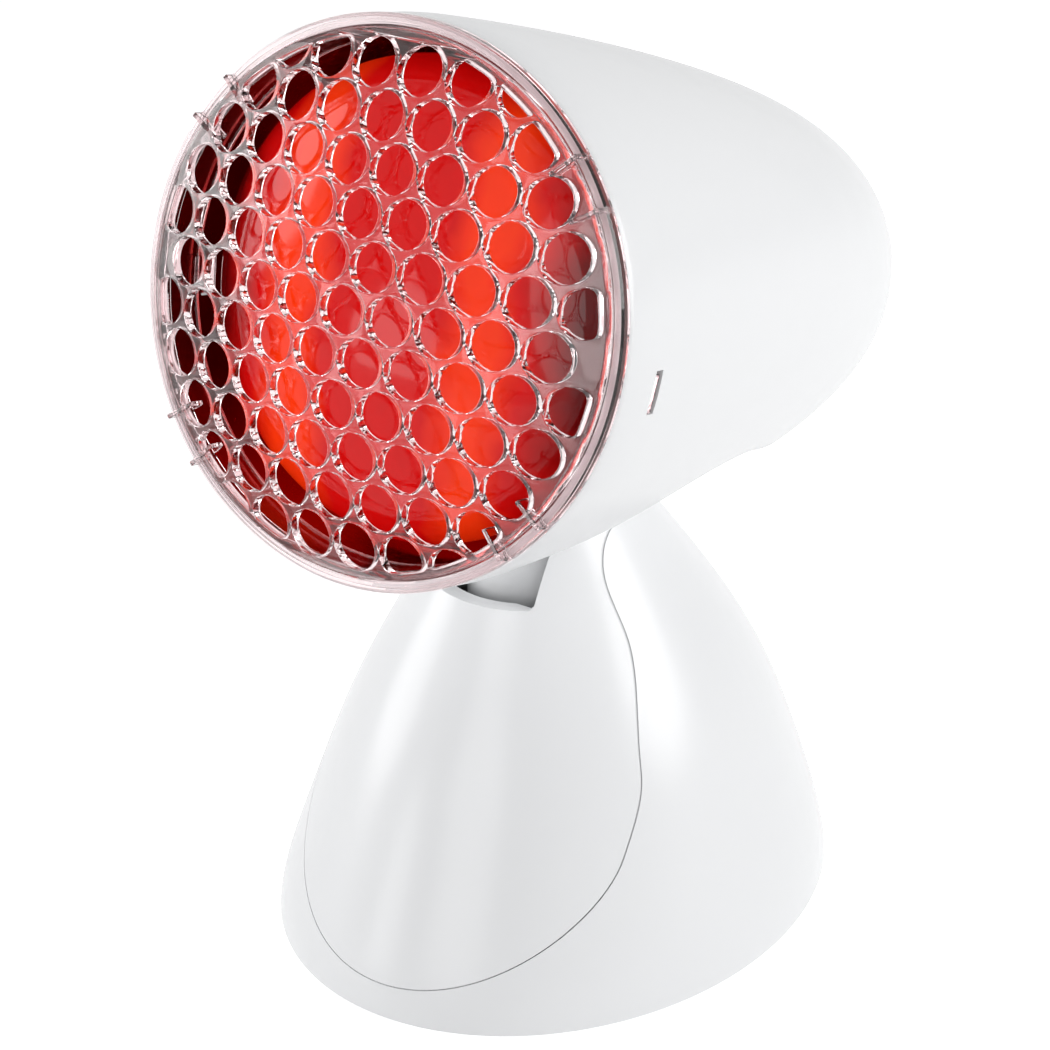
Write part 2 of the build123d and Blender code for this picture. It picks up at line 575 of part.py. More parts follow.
def make_detent():
    """The notched sector in the arm's hub, and the leaf spring that clicks into it."""
    x, y, z = PIVOT
    start = 270 - SECTOR_HALF_ANGLE
    outer = CenterArc((y, z), SECTOR_RADIUS, start, 2 * SECTOR_HALF_ANGLE)
    inner = CenterArc((y, z), SECTOR_BORE, start, 2 * SECTOR_HALF_ANGLE)
    outline = make_face(Curve() + [outer, inner, Line(outer @ 0, inner @ 0), Line(outer @ 1, inner @ 1)])
    sector = extrude(SIDE_PLANE * outline, SECTOR_THICKNESS / 2, both=True)
    steps = int((TILT_UP + TILT_DOWN) / TILT_STEP) + 1
    for step in range(steps):
        angle = radians(-TILT_UP + step * TILT_STEP)
        place = (y + SECTOR_RADIUS * sin(angle), z - SECTOR_RADIUS * cos(angle))
        sector -= rod(DETENT_RADIUS, (-5, *place), (5, *place))
    pieces["detent_sector"] = sector
    peak = z - SECTOR_RADIUS - DETENT_GAP - SPRING_THICKNESS / 2
    tab = y + COLUMN_DEPTH / 2 - COLUMN_WALL - SPRING_THICKNESS / 2
    path = FilletPolyline((tab, SPRING_SCREW_Z - 5), (tab, peak - 5), (y + 4, peak - 2.4), (y, peak),
                          (y - 4, peak - 2.4), radius=1.0)
    leaf = SIDE_PLANE * trace(path, SPRING_THICKNESS)
    leaf = extrude(leaf, SPRING_WIDTH / 2, both=True)
    leaf -= Pos(0, tab, SPRING_SCREW_Z) * Rot(90, 0, 0) * screw_hole(2)
    pieces["detent_spring"] = leaf
    seat = tab - SPRING_THICKNESS / 2
    pieces["spring_screw"] = Pos(0, seat, SPRING_SCREW_Z) * Rot(90, 0, 0) * screw(SPRING_THICKNESS + COLUMN_WALL)


def make_pivot():
    """Tilt pin, its clips, and the two bushes that run on it in the arm's hub."""
    reach = COLUMN_WIDTH / 2
    pin = cross_bar(PIN_RADIUS, reach + 2.4)
    clips = []
    for side in (-1, 1):
        start = (side * (reach + 0.2), PIVOT[1], PIVOT[2])
        end = (side * (reach + 0.2 + CLIP_THICKNESS), PIVOT[1], PIVOT[2])
        pin -= rod(PIN_RADIUS + 1, start, end) - rod(PIN_RADIUS - 0.5, start, end)
        clips.append(rod(CLIP_RADIUS, start, end) - rod(PIN_RADIUS - 0.45, start, end))
    bushes = []
    for side in (-1, 1):
        start = (side * (ARM_WIDTH / 2), PIVOT[1], PIVOT[2])
        end = (side * (ARM_WIDTH / 2 - 7), PIVOT[1], PIVOT[2])
        bush = rod(PIN_RADIUS + BUSH_WALL, start, end) - rod(PIN_RADIUS + PIN_RUNNING_GAP, start, end)
        bushes.append(bush)
    pieces["tilt_pin"] = pin
    pieces["pin_clips"] = Compound(children=clips)
    pieces["pin_bushes"] = Compound(children=bushes)


def make_arm():
    """The head's arm: a half-round column from the head's scoop down to its hub on the pin."""
    z = PIVOT[2]
    depth = ARM_BACK - ARM_FRONT
    section = Pos(0, ARM_FRONT) * Circle(ARM_WIDTH / 2)
    section += Pos(0, ARM_FRONT + depth / 2) * Rectangle(ARM_WIDTH, depth)
    arm = extrude(Plane.XY.offset(z) * section, ARM_TOP + 20 - z) + cross_bar(HUB_RADIUS, ARM_WIDTH / 2)
    arm -= on_head(head_solid())
    arm -= cross_bar(PIN_RADIUS + BUSH_WALL, 40)
    arm -= Pos(0, WIRE_HOLE_Y, ARM_TOP) * Cylinder(WIRE_HOLE_RADIUS, 60)
    arm -= Pos(0, PIVOT[1], PIVOT[2]) * Box(SECTOR_THICKNESS + 0.1, 60, 60, align=(
        Align.CENTER, Align.CENTER, Align.MAX)) & cross_bar(HUB_RADIUS + 1, SECTOR_THICKNESS)
    screws = []
    for side in (-ARM_SCREW_X, ARM_SCREW_X):
        arm -= Pos(side, ARM_SCREW_Y, ARM_SCREW_SEAT) * screw_hole(ARM_SCREW_LENGTH + 1)
        screws.append(Pos(side, ARM_SCREW_Y, ARM_SCREW_SEAT) * screw(ARM_SCREW_LENGTH))
    pieces["tilt_arm"] = arm
    pieces["arm_screws"] = Compound(children=screws)


make_head_housing()
make_grille()
make_bulb()
make_holder()
make_base_shell()
make_bottom()
make_wiring()
make_column()
make_detent()
make_pivot()
make_arm()

os.makedirs("parts", exist_ok=True)
for name, piece in pieces.items():
    export_step(piece, f"parts/{name}.step")
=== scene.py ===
import json
import logging
from dataclasses import dataclass
from enum import Enum
from math import atan2, cos, hypot, pi, radians, sin, sqrt
from typing import Callable, Iterable

import bmesh
import bpy
from mathutils import Matrix, Vector


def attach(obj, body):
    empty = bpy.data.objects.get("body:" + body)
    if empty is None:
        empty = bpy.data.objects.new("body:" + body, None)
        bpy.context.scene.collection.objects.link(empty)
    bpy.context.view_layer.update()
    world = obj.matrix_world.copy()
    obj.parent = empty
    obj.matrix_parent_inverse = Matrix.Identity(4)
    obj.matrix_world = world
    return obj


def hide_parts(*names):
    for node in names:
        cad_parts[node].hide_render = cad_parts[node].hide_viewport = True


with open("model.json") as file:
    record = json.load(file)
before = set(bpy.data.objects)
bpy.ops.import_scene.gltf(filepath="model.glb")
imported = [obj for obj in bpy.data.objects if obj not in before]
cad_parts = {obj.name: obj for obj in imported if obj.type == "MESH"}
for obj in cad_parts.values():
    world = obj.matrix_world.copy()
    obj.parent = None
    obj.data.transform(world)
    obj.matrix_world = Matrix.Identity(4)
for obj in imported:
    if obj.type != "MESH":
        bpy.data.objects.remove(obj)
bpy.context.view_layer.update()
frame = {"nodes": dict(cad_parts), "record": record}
LOG = logging.getLogger("heat_lamp")
MM = 0.001
WELD = 1e-7
COLLAPSE = 1e-8
Colour = tuple[float, float, float]
Point2 = tuple[float, float]


class Body(Enum):
    """The two bodies that the tilt joint connects."""

    STAND = "stand"
    HEAD = "head"


# ---------------------------------------------------------------- mesh helpers


@dataclass(frozen=True)
class HeadAxes:
    """The head's own axes: depth runs backward from the plane of its mouth. Millimetres."""

    centre: tuple[float, float, float] = (0.0, -65.4, 158.7)
    tilt: float = 15.0

    def point(self, radius: float, angle: float, depth: float) -> Vector:
        """A point in metres.

        Args:
            radius: distance from the head's axis.
            angle: turn about that axis from the +X side, in radians.
            depth: distance behind the plane of the mouth.

        Returns:
            The point in the shared frame.
        """
        lean = radians(self.tilt)
        up = radius * sin(angle)
        x = radius * cos(angle)
        y = self.centre[1] + up * sin(lean) + depth * cos(lean)
        z = self.centre[2] + up * cos(lean) - depth * sin(lean)
        return Vector((x, y, z)) * MM


AXES = HeadAxes()


def add_piece(name: str, mesh: bpy.types.Mesh, finish: bpy.types.Material, body: Body,
              sharp: float = 35.0) -> bpy.types.Object:
    """Link a finished mesh as a piece that rides on a body.

    Args:
        name: the piece's name.
        mesh: its mesh, in the shared frame.
        finish: its material.
        body: the body that carries it.
        sharp: edges that turn by more than this many degrees stay sharp.

    Returns:
        The new object.
    """
    mesh.shade_smooth()
    mesh.set_sharp_from_angle(angle=radians(sharp))
    mesh.materials.append(finish)
    piece = bpy.data.objects.new(name, mesh)
    bpy.context.scene.collection.objects.link(piece)
    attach(piece, body.value)
    LOG.info("%s: %d faces on %s", name, len(mesh.polygons), body.value)
    return piece


def finished_mesh(name: str, work: bmesh.types.BMesh) -> bpy.types.Mesh:
    """Weld, orient and store a working mesh.

    Args:
        name: the mesh's name.
        work: the working mesh, which is freed.

    Returns:
        The stored mesh.
    """
    bmesh.ops.remove_doubles(work, verts=work.verts, dist=WELD)
    bmesh.ops.dissolve_degenerate(work, edges=work.edges, dist=COLLAPSE)
    bmesh.ops.recalc_face_normals(work, faces=work.faces)
    mesh = bpy.data.meshes.new(name)
    work.to_mesh(mesh)
    work.free()
    return mesh


def skin(name: str, outer: list[list[Vector]], inner: list[list[Vector]],
         gaps: frozenset[tuple[int, int]] = frozenset()) -> bpy.types.Mesh:
    """A closed shell between two surfaces of the same grid, each row a ring.

    Args:
        name: the mesh's name.
        outer: rows of points of the outer surface.
        inner: the points behind them, whose faces take the second material.
        gaps: (row, column) cells that stay open, with walls round them.

    Returns:
        The shell's mesh.
    """
    work = bmesh.new()
    out = [[work.verts.new(p) for p in row] for row in outer]
    back = [[work.verts.new(p) for p in row] for row in inner]
    rows, columns = len(out), len(out[0])

    def is_open(row: int, column: int) -> bool:
        """Whether a cell is beyond the grid's ends or in a gap."""
        return row < 0 or row > rows - 2 or (row, column % columns) in gaps

    for r in range(rows - 1):
        for c in range(columns):
            if is_open(r, c):
                continue
            d = (c + 1) % columns
            work.faces.new((out[r][c], out[r][d], out[r + 1][d], out[r + 1][c]))
            lining = work.faces.new((back[r][c], back[r + 1][c], back[r + 1][d], back[r][d]))
            lining.material_index = 1
            if is_open(r - 1, c):
                work.faces.new((out[r][c], back[r][c], back[r][d], out[r][d]))
            if is_open(r + 1, c):
                work.faces.new((out[r + 1][c], out[r + 1][d], back[r + 1][d], back[r + 1][c]))
            if is_open(r, c - 1):
                work.faces.new((out[r][c], out[r + 1][c], back[r + 1][c], back[r][c]))
            if is_open(r, c + 1):
                work.faces.new((out[r][d], back[r][d], back[r + 1][d], out[r + 1][d]))
    return finished_mesh(name, work)


def spun(name: str, profile: Iterable[Point2], segments: int) -> bpy.types.Mesh:
    """A closed (radius, depth) outline turned about the head's axis.

    Args:
        name: the mesh's name.
        profile: the outline's points in millimetres, without repeating the first.
        segments: steps round the axis.

    Returns:
        The turned mesh.
    """
    work = bmesh.new()
    turns = [2 * pi * k / segments for k in range(segments)]
    rings = [[work.verts.new(AXES.point(r, a, d)) for a in turns] for r, d in profile]
    for low, high in zip(rings, rings[1:] + rings[:1]):
        for c in range(segments):
            d = (c + 1) % segments
            work.faces.new((low[c], low[d], high[d], high[c]))
    return finished_mesh(name, work)


def block(work: bmesh.types.BMesh, angle: float, radii: Point2, depths: Point2,
          width: float, round_off: float) -> None:
    """Add a rounded block to a working mesh, standing on a ray from the head's axis.

    Args:
        work: the working mesh.
        angle: the ray's turn from the +X side, in degrees.
        radii: where the block begins and ends along the ray.
        depths: its front and back depth.
        width: its width across the ray.
        round_off: how far its edges are rounded.
    """
    centre = radians(angle)
    made = bmesh.new()
    corners = []
    for radius in radii:
        for across in (-width / 2, width / 2):
            for depth in depths:
                turn = centre + atan2(across, radius)
                corners.append(made.verts.new(AXES.point(hypot(radius, across), turn, depth)))
    sides = ((0, 1, 3, 2), (4, 6, 7, 5), (0, 4, 5, 1), (2, 3, 7, 6), (0, 2, 6, 4), (1, 5, 7, 3))
    for face in sides:
        made.faces.new([corners[k] for k in face])
    bmesh.ops.recalc_face_normals(made, faces=made.faces)
    bmesh.ops.bevel(made, geom=made.edges, offset=round_off * MM, segments=2, affect="EDGES",
                    profile=0.5, clamp_overlap=True)
    piece = bpy.data.meshes.new("block")
    made.to_mesh(piece)
    made.free()
    work.from_mesh(piece)
    bpy.data.meshes.remove(piece)


def smooth_curve(points: tuple[Point2, ...], steps: int) -> list[Point2]:
    """A smooth line through points, by Catmull-Rom spans.

    Args:
        points: the points to pass through.
        steps: points made per span.

    Returns:
        The line's points, the last one included.
    """
    ends = (points[0],) + points + (points[-1],)
    line = []
    for a, b, c, d in zip(ends, ends[1:], ends[2:], ends[3:]):
        for k in range(steps):
            t = k / steps
            line.append(tuple(
                0.5 * (2 * q + (r - p) * t + (2 * p - 5 * q + 4 * r - s) * t**2
                       + (3 * q - p - 3 * r + s) * t**3)
                for p, q, r, s in zip(a, b, c, d)))
    line.append(points[-1])
    return line


# ---------------------------------------------------------------- finishes


class NodeBoard:
    """A material's nodes, with short calls to add and join them."""

    def __init__(self, name: str) -> None:
        """Start a material that holds only a shader and an output."""
        self.material = bpy.data.materials.new(name)
        self.material.use_nodes = True
        self.tree = self.material.node_tree
        self.tree.nodes.clear()
        self.shader = self.add("ShaderNodeBsdfPrincipled")
        self.output = self.add("ShaderNodeOutputMaterial")
        self.join(self.shader, "BSDF", self.output, "Surface")
        self.place = self.add("ShaderNodeTexCoord")

    def add(self, kind: str, **settings: object) -> bpy.types.Node:
        """Add a node and set its properties or input values.

        Args:
            kind: the node's type name.
            settings: properties, or input values by name with _ for a space.

        Returns:
            The new node.
        """
        node = self.tree.nodes.new(kind)
        for key, value in settings.items():
            if hasattr(node, key):
                setattr(node, key, value)
            else:
                node.inputs[key.replace("_", " ")].default_value = value
        return node

    def join(self, source: bpy.types.Node, out: str | int, target: bpy.types.Node,
             into: str | int) -> None:
        """Link an output to an input.

        Args:
            source: the node that gives the value.
            out: its output's name or place.
            target: the node that takes it.
            into: its input's name or place.
        """
        self.tree.links.new(source.outputs[out], target.inputs[into])

    def values(self, **values: object) -> None:
        """Set the shader's own sockets, by name with _ for a space."""
        for key, value in values.items():
            self.shader.inputs[key.replace("_", " ")].default_value = value

    def noise(self, scale: float, detail: float = 3.0) -> bpy.types.Node:
        """A noise texture in the piece's own coordinates.

        Args:
            scale: its scale per metre.
            detail: its octaves.

        Returns:
            The texture node.
        """
        node = self.add("ShaderNodeTexNoise", Scale=scale, Detail=detail)
        self.join(self.place, "Object", node, "Vector")
        return node

    def relief(self, texture: bpy.types.Node, height: float, strength: float) -> None:
        """Use a texture as the shader's bump.

        Args:
            texture: the texture node.
            height: its full height in metres.
            strength: the share of it that shows.
        """
        bump = self.add("ShaderNodeBump", Strength=strength, Distance=height)
        self.join(texture, 0, bump, "Height")
        self.join(bump, "Normal", self.shader, "Normal")

    def spread(self, texture: bpy.types.Node, low: float, high: float, into: str) -> None:
        """Map a texture's middle range onto an input of the shader.

        Args:
            texture: the texture node.
            low: the input's value at the dark end.
            high: its value at the light end.
            into: the input's name.
        """
        span = self.add("ShaderNodeMapRange", From_Min=0.3, From_Max=0.7, To_Min=low, To_Max=high)
        self.join(texture, 0, span, "Value")
        self.join(span, "Result", self.shader, into)

    def tint(self, texture: bpy.types.Node, dark: Colour, light: Colour) -> None:
        """Vary the base colour between two colours along a texture.

        Args:
            texture: the texture node.
            dark: the colour at its dark end.
            light: the colour at its light end.
        """
        ramp = self.ramp(((0.25, dark), (0.75, light)))
        self.join(texture, 0, ramp, "Fac")
        self.join(ramp, "Color", self.shader, "Base Color")

    def ramp(self, stops: tuple[tuple[float, Colour], ...]) -> bpy.types.Node:
        """A colour ramp.

        Args:
            stops: its places and colours, in order.

        Returns:
            The ramp's node.
        """
        node = self.add("ShaderNodeValToRGB")
        elements = node.color_ramp.elements
        elements[0].position = stops[0][0]
        elements[-1].position = stops[-1][0]
        for place, _ in stops[1:-1]:
            elements.new(place)
        for element, (_, colour) in zip(elements, stops):
            element.color = (*colour, 1.0)
        return node


def shaded(colour: Colour, share: float) -> Colour:
    """A colour times a number."""
    return tuple(part * share for part in colour)


@dataclass(frozen=True)
class Moulding:
    """A moulded or cast finish: a faint mottle, a fine grain and uneven gloss."""

    colour: Colour
    roughness: float
    grain: float = 3000.0
    depth: float = 0.00001
    mottle: float = 0.03
    coat: float = 0.0

    def build(self, name: str) -> bpy.types.Material:
        """The finish as a material of that name."""
        board = NodeBoard(name)
        board.tint(board.noise(14.0), shaded(self.colour, 1 - self.mottle), self.colour)
        board.spread(board.noise(60.0), self.roughness * 0.92, self.roughness * 1.08, "Roughness")
        board.relief(board.noise(self.grain, 2.0), self.depth, 0.25)
        board.values(Coat_Weight=self.coat, Coat_Roughness=0.12)
        return board.material


@dataclass(frozen=True)
class Metal:
    """Bare or plated metal with drawn scratches and a little tarnish."""

    colour: Colour
    roughness: float

    def build(self, name: str) -> bpy.types.Material:
        """The finish as a material of that name."""
        board = NodeBoard(name)
        board.tint(board.noise(120.0), shaded(self.colour, 0.82), self.colour)
        board.spread(board.noise(700.0), self.roughness * 0.7, self.roughness * 1.3, "Roughness")
        board.relief(board.noise(1500.0, 1.0), 0.00002, 0.3)
        board.values(Metallic=1.0)
        return board.material


@dataclass(frozen=True)
class ClearPlastic:
    """Clear moulded plastic with flow marks and a slightly soft surface."""

    colour: Colour
    roughness: float
    index: float = 1.49

    def build(self, name: str) -> bpy.types.Material:
        """The finish as a material of that name."""
        board = NodeBoard(name)
        board.tint(board.noise(60.0), shaded(self.colour, 0.97), self.colour)
        board.spread(board.noise(180.0), self.roughness * 0.6, self.roughness * 1.4, "Roughness")
        board.relief(board.noise(110.0, 1.0), 0.00008, 0.25)
        board.values(IOR=self.index, Transmission_Weight=1.0)
        return board.material


@dataclass(frozen=True)
class RubyGlass:
    """Ruby glass over a mirrored bowl: red, with orange bands painted by place as the bowl's
    reflection, and deep red painted as shade toward its edge; its glow carries the same painted
    colours.
    """

    edge_shade_red: Colour
    red: Colour
    reflection_orange: Colour
    roughness: float
    glow: float
    reach: float = 0.055
    wander: float = 0.014

    def build(self, name: str) -> bpy.types.Material:
        """The finish as a material of that name."""
        board = NodeBoard(name)
        parts = board.add("ShaderNodeSeparateXYZ")
        board.join(board.place, "Object", parts, "Vector")
        side = board.add("ShaderNodeMath", operation="ABSOLUTE")
        board.join(parts, "X", side, 0)
        wander = board.add("ShaderNodeMath", operation="MULTIPLY_ADD")
        wander.inputs[1].default_value = self.wander
        board.join(board.noise(70.0, 2.0), 0, wander, 0)
        board.join(side, 0, wander, 2)
        span = board.add("ShaderNodeMapRange", From_Max=self.reach)
        board.join(wander, 0, span, "Value")
        # Orange stops: painted reflection of the mirrored bowl. Deep red at the far end: painted
        # shade toward the glass's edge.
        ramp = board.ramp(((0.0, self.red), (0.34, self.red), (0.46, self.reflection_orange),
                           (0.56, self.reflection_orange), (0.68, self.red), (0.9, self.edge_shade_red)))
        board.join(span, "Result", ramp, "Fac")
        board.join(ramp, "Color", board.shader, "Base Color")
        # The glow takes the ramp's colours, so it includes the painted reflection bands and the
        # painted edge shade.
        board.join(ramp, "Color", board.shader, "Emission Color")
        board.spread(board.noise(90.0), self.roughness * 0.8, self.roughness * 1.2, "Roughness")
        board.relief(board.noise(60.0, 1.0), 0.0002, 0.2)
        board.values(IOR=1.5, Specular_IOR_Level=0.25, Emission_Strength=self.glow)
        return board.material


class FinishBook:
    """One material per finish, named by the record's material slots."""

    finishes: dict[str, Moulding | Metal | ClearPlastic | RubyGlass] = {
        "white_plastic": Moulding((0.885, 0.89, 0.9), 0.25, grain=150.0, depth=0.000012,
                                  mottle=0.006),
        # clear_plastic: its pink tint is painted red light from the bulb, not the clear plastic's
        # own colour.
        "clear_plastic": ClearPlastic((0.98, 0.86, 0.87), 0.04),
        # red_glass: its orange is painted reflection of the mirrored bowl, and its deep edge red is
        # painted shade.
        "red_glass": RubyGlass(edge_shade_red=(0.1, 0.0005, 0.0008), red=(0.6, 0.002, 0.002),
                               reflection_orange=(0.88, 0.035, 0.003), roughness=0.06, glow=0.3),
        # heat_lining: a metal lining whose red tint is painted red light from the bulb on the
        # housing's inside.
        "heat_lining": Metal((0.66, 0.05, 0.045), 0.22),
        "clear_glass": ClearPlastic((0.95, 0.95, 0.95), 0.02, 1.5),
        "nickelled_brass": Metal((0.72, 0.69, 0.62), 0.25),
        "black_glass": Moulding((0.02, 0.02, 0.022), 0.12, coat=0.5),
        "brass": Metal((0.78, 0.57, 0.28), 0.3),
        "tungsten": Metal((0.42, 0.42, 0.43), 0.4),
        "ceramic": Moulding((0.8, 0.78, 0.73), 0.35, grain=500.0, mottle=0.05, coat=0.4),
        "zinc_steel": Metal((0.62, 0.63, 0.64), 0.33),
        "spring_steel": Metal((0.5, 0.5, 0.51), 0.28),
        "acetal": Moulding((0.8, 0.8, 0.77), 0.42),
        "grey_plastic": Moulding((0.2, 0.2, 0.2), 0.5, depth=0.00006),
        "rubber": Moulding((0.035, 0.035, 0.036), 0.8, grain=1400.0, depth=0.0001, mottle=0.2),
    }

    def __init__(self) -> None:
        """Build every finish once."""
        self.made = {slot: finish.build(slot) for slot, finish in self.finishes.items()}

    def dress(self, piece: bpy.types.Object, slot: str) -> None:
        """Give a new piece the finish of a slot."""
        piece.material_slots[0].material = self.made[slot]

    def dress_nodes(self) -> None:
        """Give every CAD node the finish of its own slot."""
        for part in frame["record"]["subparts"]:
            node = frame["nodes"][part["node"]]
            for place in node.material_slots:
                place.material = self.made[part["material_slot"]]


# ---------------------------------------------------------------- head


@dataclass
class Housing:
    """The head's moulded housing with its underside scoop and the grille's snap slots."""

    radius: float = 55.7
    length: float = 176.2
    taper_start: float = 1.3
    taper_end: float = 3.608
    front: float = 4.5
    wall: float = 2.2
    lip: float = 0.9
    lip_depth: float = 12.0
    lip_rings: tuple[float, ...] = (5.2, 6.4, 8.5, 12.0)
    lip_round: tuple[float, ...] = (0.75, 0.25, 0.05)
    even_from: float = 21.0
    even_rings: int = 125
    tail_rings: int = 40
    tail_crowding: float = 2.2
    wall_lean: float = 0.55
    scoop: tuple[Point2, ...] = ((81.0, 28.4), (68.3, 80.5), (67.0, 132.7))
    scoop_lift: float = 26.8
    scoop_margin: float = 4.0
    crease: float = 0.7
    slot_angles: Point2 = (-6.0, 186.0)
    slot_depths: Point2 = (15.7, 18.3)
    slot_half_angle: float = 4.7
    columns: int = 360

    def profile(self, depth: float) -> float:
        """The radius of the turned form at a depth, without its scoop."""
        share = min(depth / self.length, 1.0)
        radius = self.radius * (1 - share**self.taper_start) ** (1 / self.taper_end)
        near = max(0.0, 1 - (depth - self.front) / self.lip_depth)
        return radius - self.lip * near**2

    def scoop_centre(self) -> tuple[float, float, float]:
        """The arc through the scoop's three points: its middle's depth and radius, and its size."""
        (ay, ax), (by, bx), (cy, cx) = self.scoop
        double = 2 * (ax * (by - cy) + bx * (cy - ay) + cx * (ay - by))
        a2, b2, c2 = ax * ax + ay * ay, bx * bx + by * by, cx * cx + cy * cy
        ux = (a2 * (by - cy) + b2 * (cy - ay) + c2 * (ay - by)) / double
        uy = (a2 * (cx - bx) + b2 * (ax - cx) + c2 * (bx - ax)) / double
        return ux, uy, hypot(ax - ux, ay - uy)

    def surface(self, angle: float, depth: float) -> float:
        """The outer radius at a place, with the scoop taken away.

        Args:
            angle: turn from the +X side, in radians.
            depth: depth behind the mouth.

        Returns:
            The radius in millimetres.
        """
        plain = self.profile(depth)
        start, end = self.scoop[0][1], self.scoop[-1][1]
        inside = start - self.scoop_margin < depth < end + self.scoop_margin
        if not inside or sin(angle) >= 0:
            return plain
        along, across, size = self.scoop_centre()
        reach = size**2 - (depth - along) ** 2
        rho = across - sqrt(reach) if across > self.scoop[1][0] else across + sqrt(reach)
        side = (self.scoop_lift * cos(angle)) ** 2
        cut = self.scoop_lift * sin(angle) + sqrt(max(rho**2 - side, 0.0))
        blend = max(self.crease - abs(plain - cut), 0.0) / self.crease
        return min(plain, cut) - blend**2 * self.crease / 4

    def depths(self) -> list[float]:
        """The depths of the rings, closer together at the lip, the slots and the tail."""
        marks = [self.front, *self.lip_rings, *self.slot_depths]
        marks += [self.even_from + k for k in range(self.even_rings)]
        left = self.length - self.even_from - self.even_rings
        for k in range(1, self.tail_rings + 1):
            marks.append(self.length - left * (1 - k / self.tail_rings) ** self.tail_crowding)
        return marks

    def slot_cells(self, row: int) -> frozenset[tuple[int, int]]:
        """The cells that the snap slots leave open.

        Args:
            row: the slots' row.

        Returns:
            Their (row, column) pairs.
        """
        cells = set()
        reach = int(self.slot_half_angle / 360 * self.columns)
        for angle in self.slot_angles:
            middle = angle / 360 * self.columns
            cells |= {(row, round(middle + k) % self.columns) for k in range(-reach, reach + 1)}
        return frozenset(cells)

    def build(self, book: FinishBook) -> None:
        """Build the housing and let it stand for its CAD node."""
        turns = [2 * pi * k / self.columns for k in range(self.columns)]
        depths = self.depths()
        outer, inner = [], []
        for row, depth in enumerate(depths):
            radii = [self.surface(turn, depth) for turn in turns]
            drop = self.lip_round[row] if row < len(self.lip_round) else 0.0
            outer.append([AXES.point(max(r - drop, 0.0), t, depth) for r, t in zip(radii, turns)])
            back = min(depth, self.length - self.wall)
            behind = min(back + self.wall * self.wall_lean, self.length)
            inner.append([AXES.point(max(min(r, self.surface(t, behind)) - self.wall, 0.0), t, back)
                          for r, t in zip(radii, turns)])
        gaps = self.slot_cells(depths.index(self.slot_depths[0]))
        piece = add_piece("housing_moulding", skin("housing_moulding", outer, inner, gaps),
                          book.made["white_plastic"], Body.HEAD, sharp=50.0)
        # The inside faces take heat_lining, whose red tint is painted red light from the bulb.
        piece.data.materials.append(book.made["heat_lining"])
        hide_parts("head_housing")
        book.dress(piece, "white_plastic")


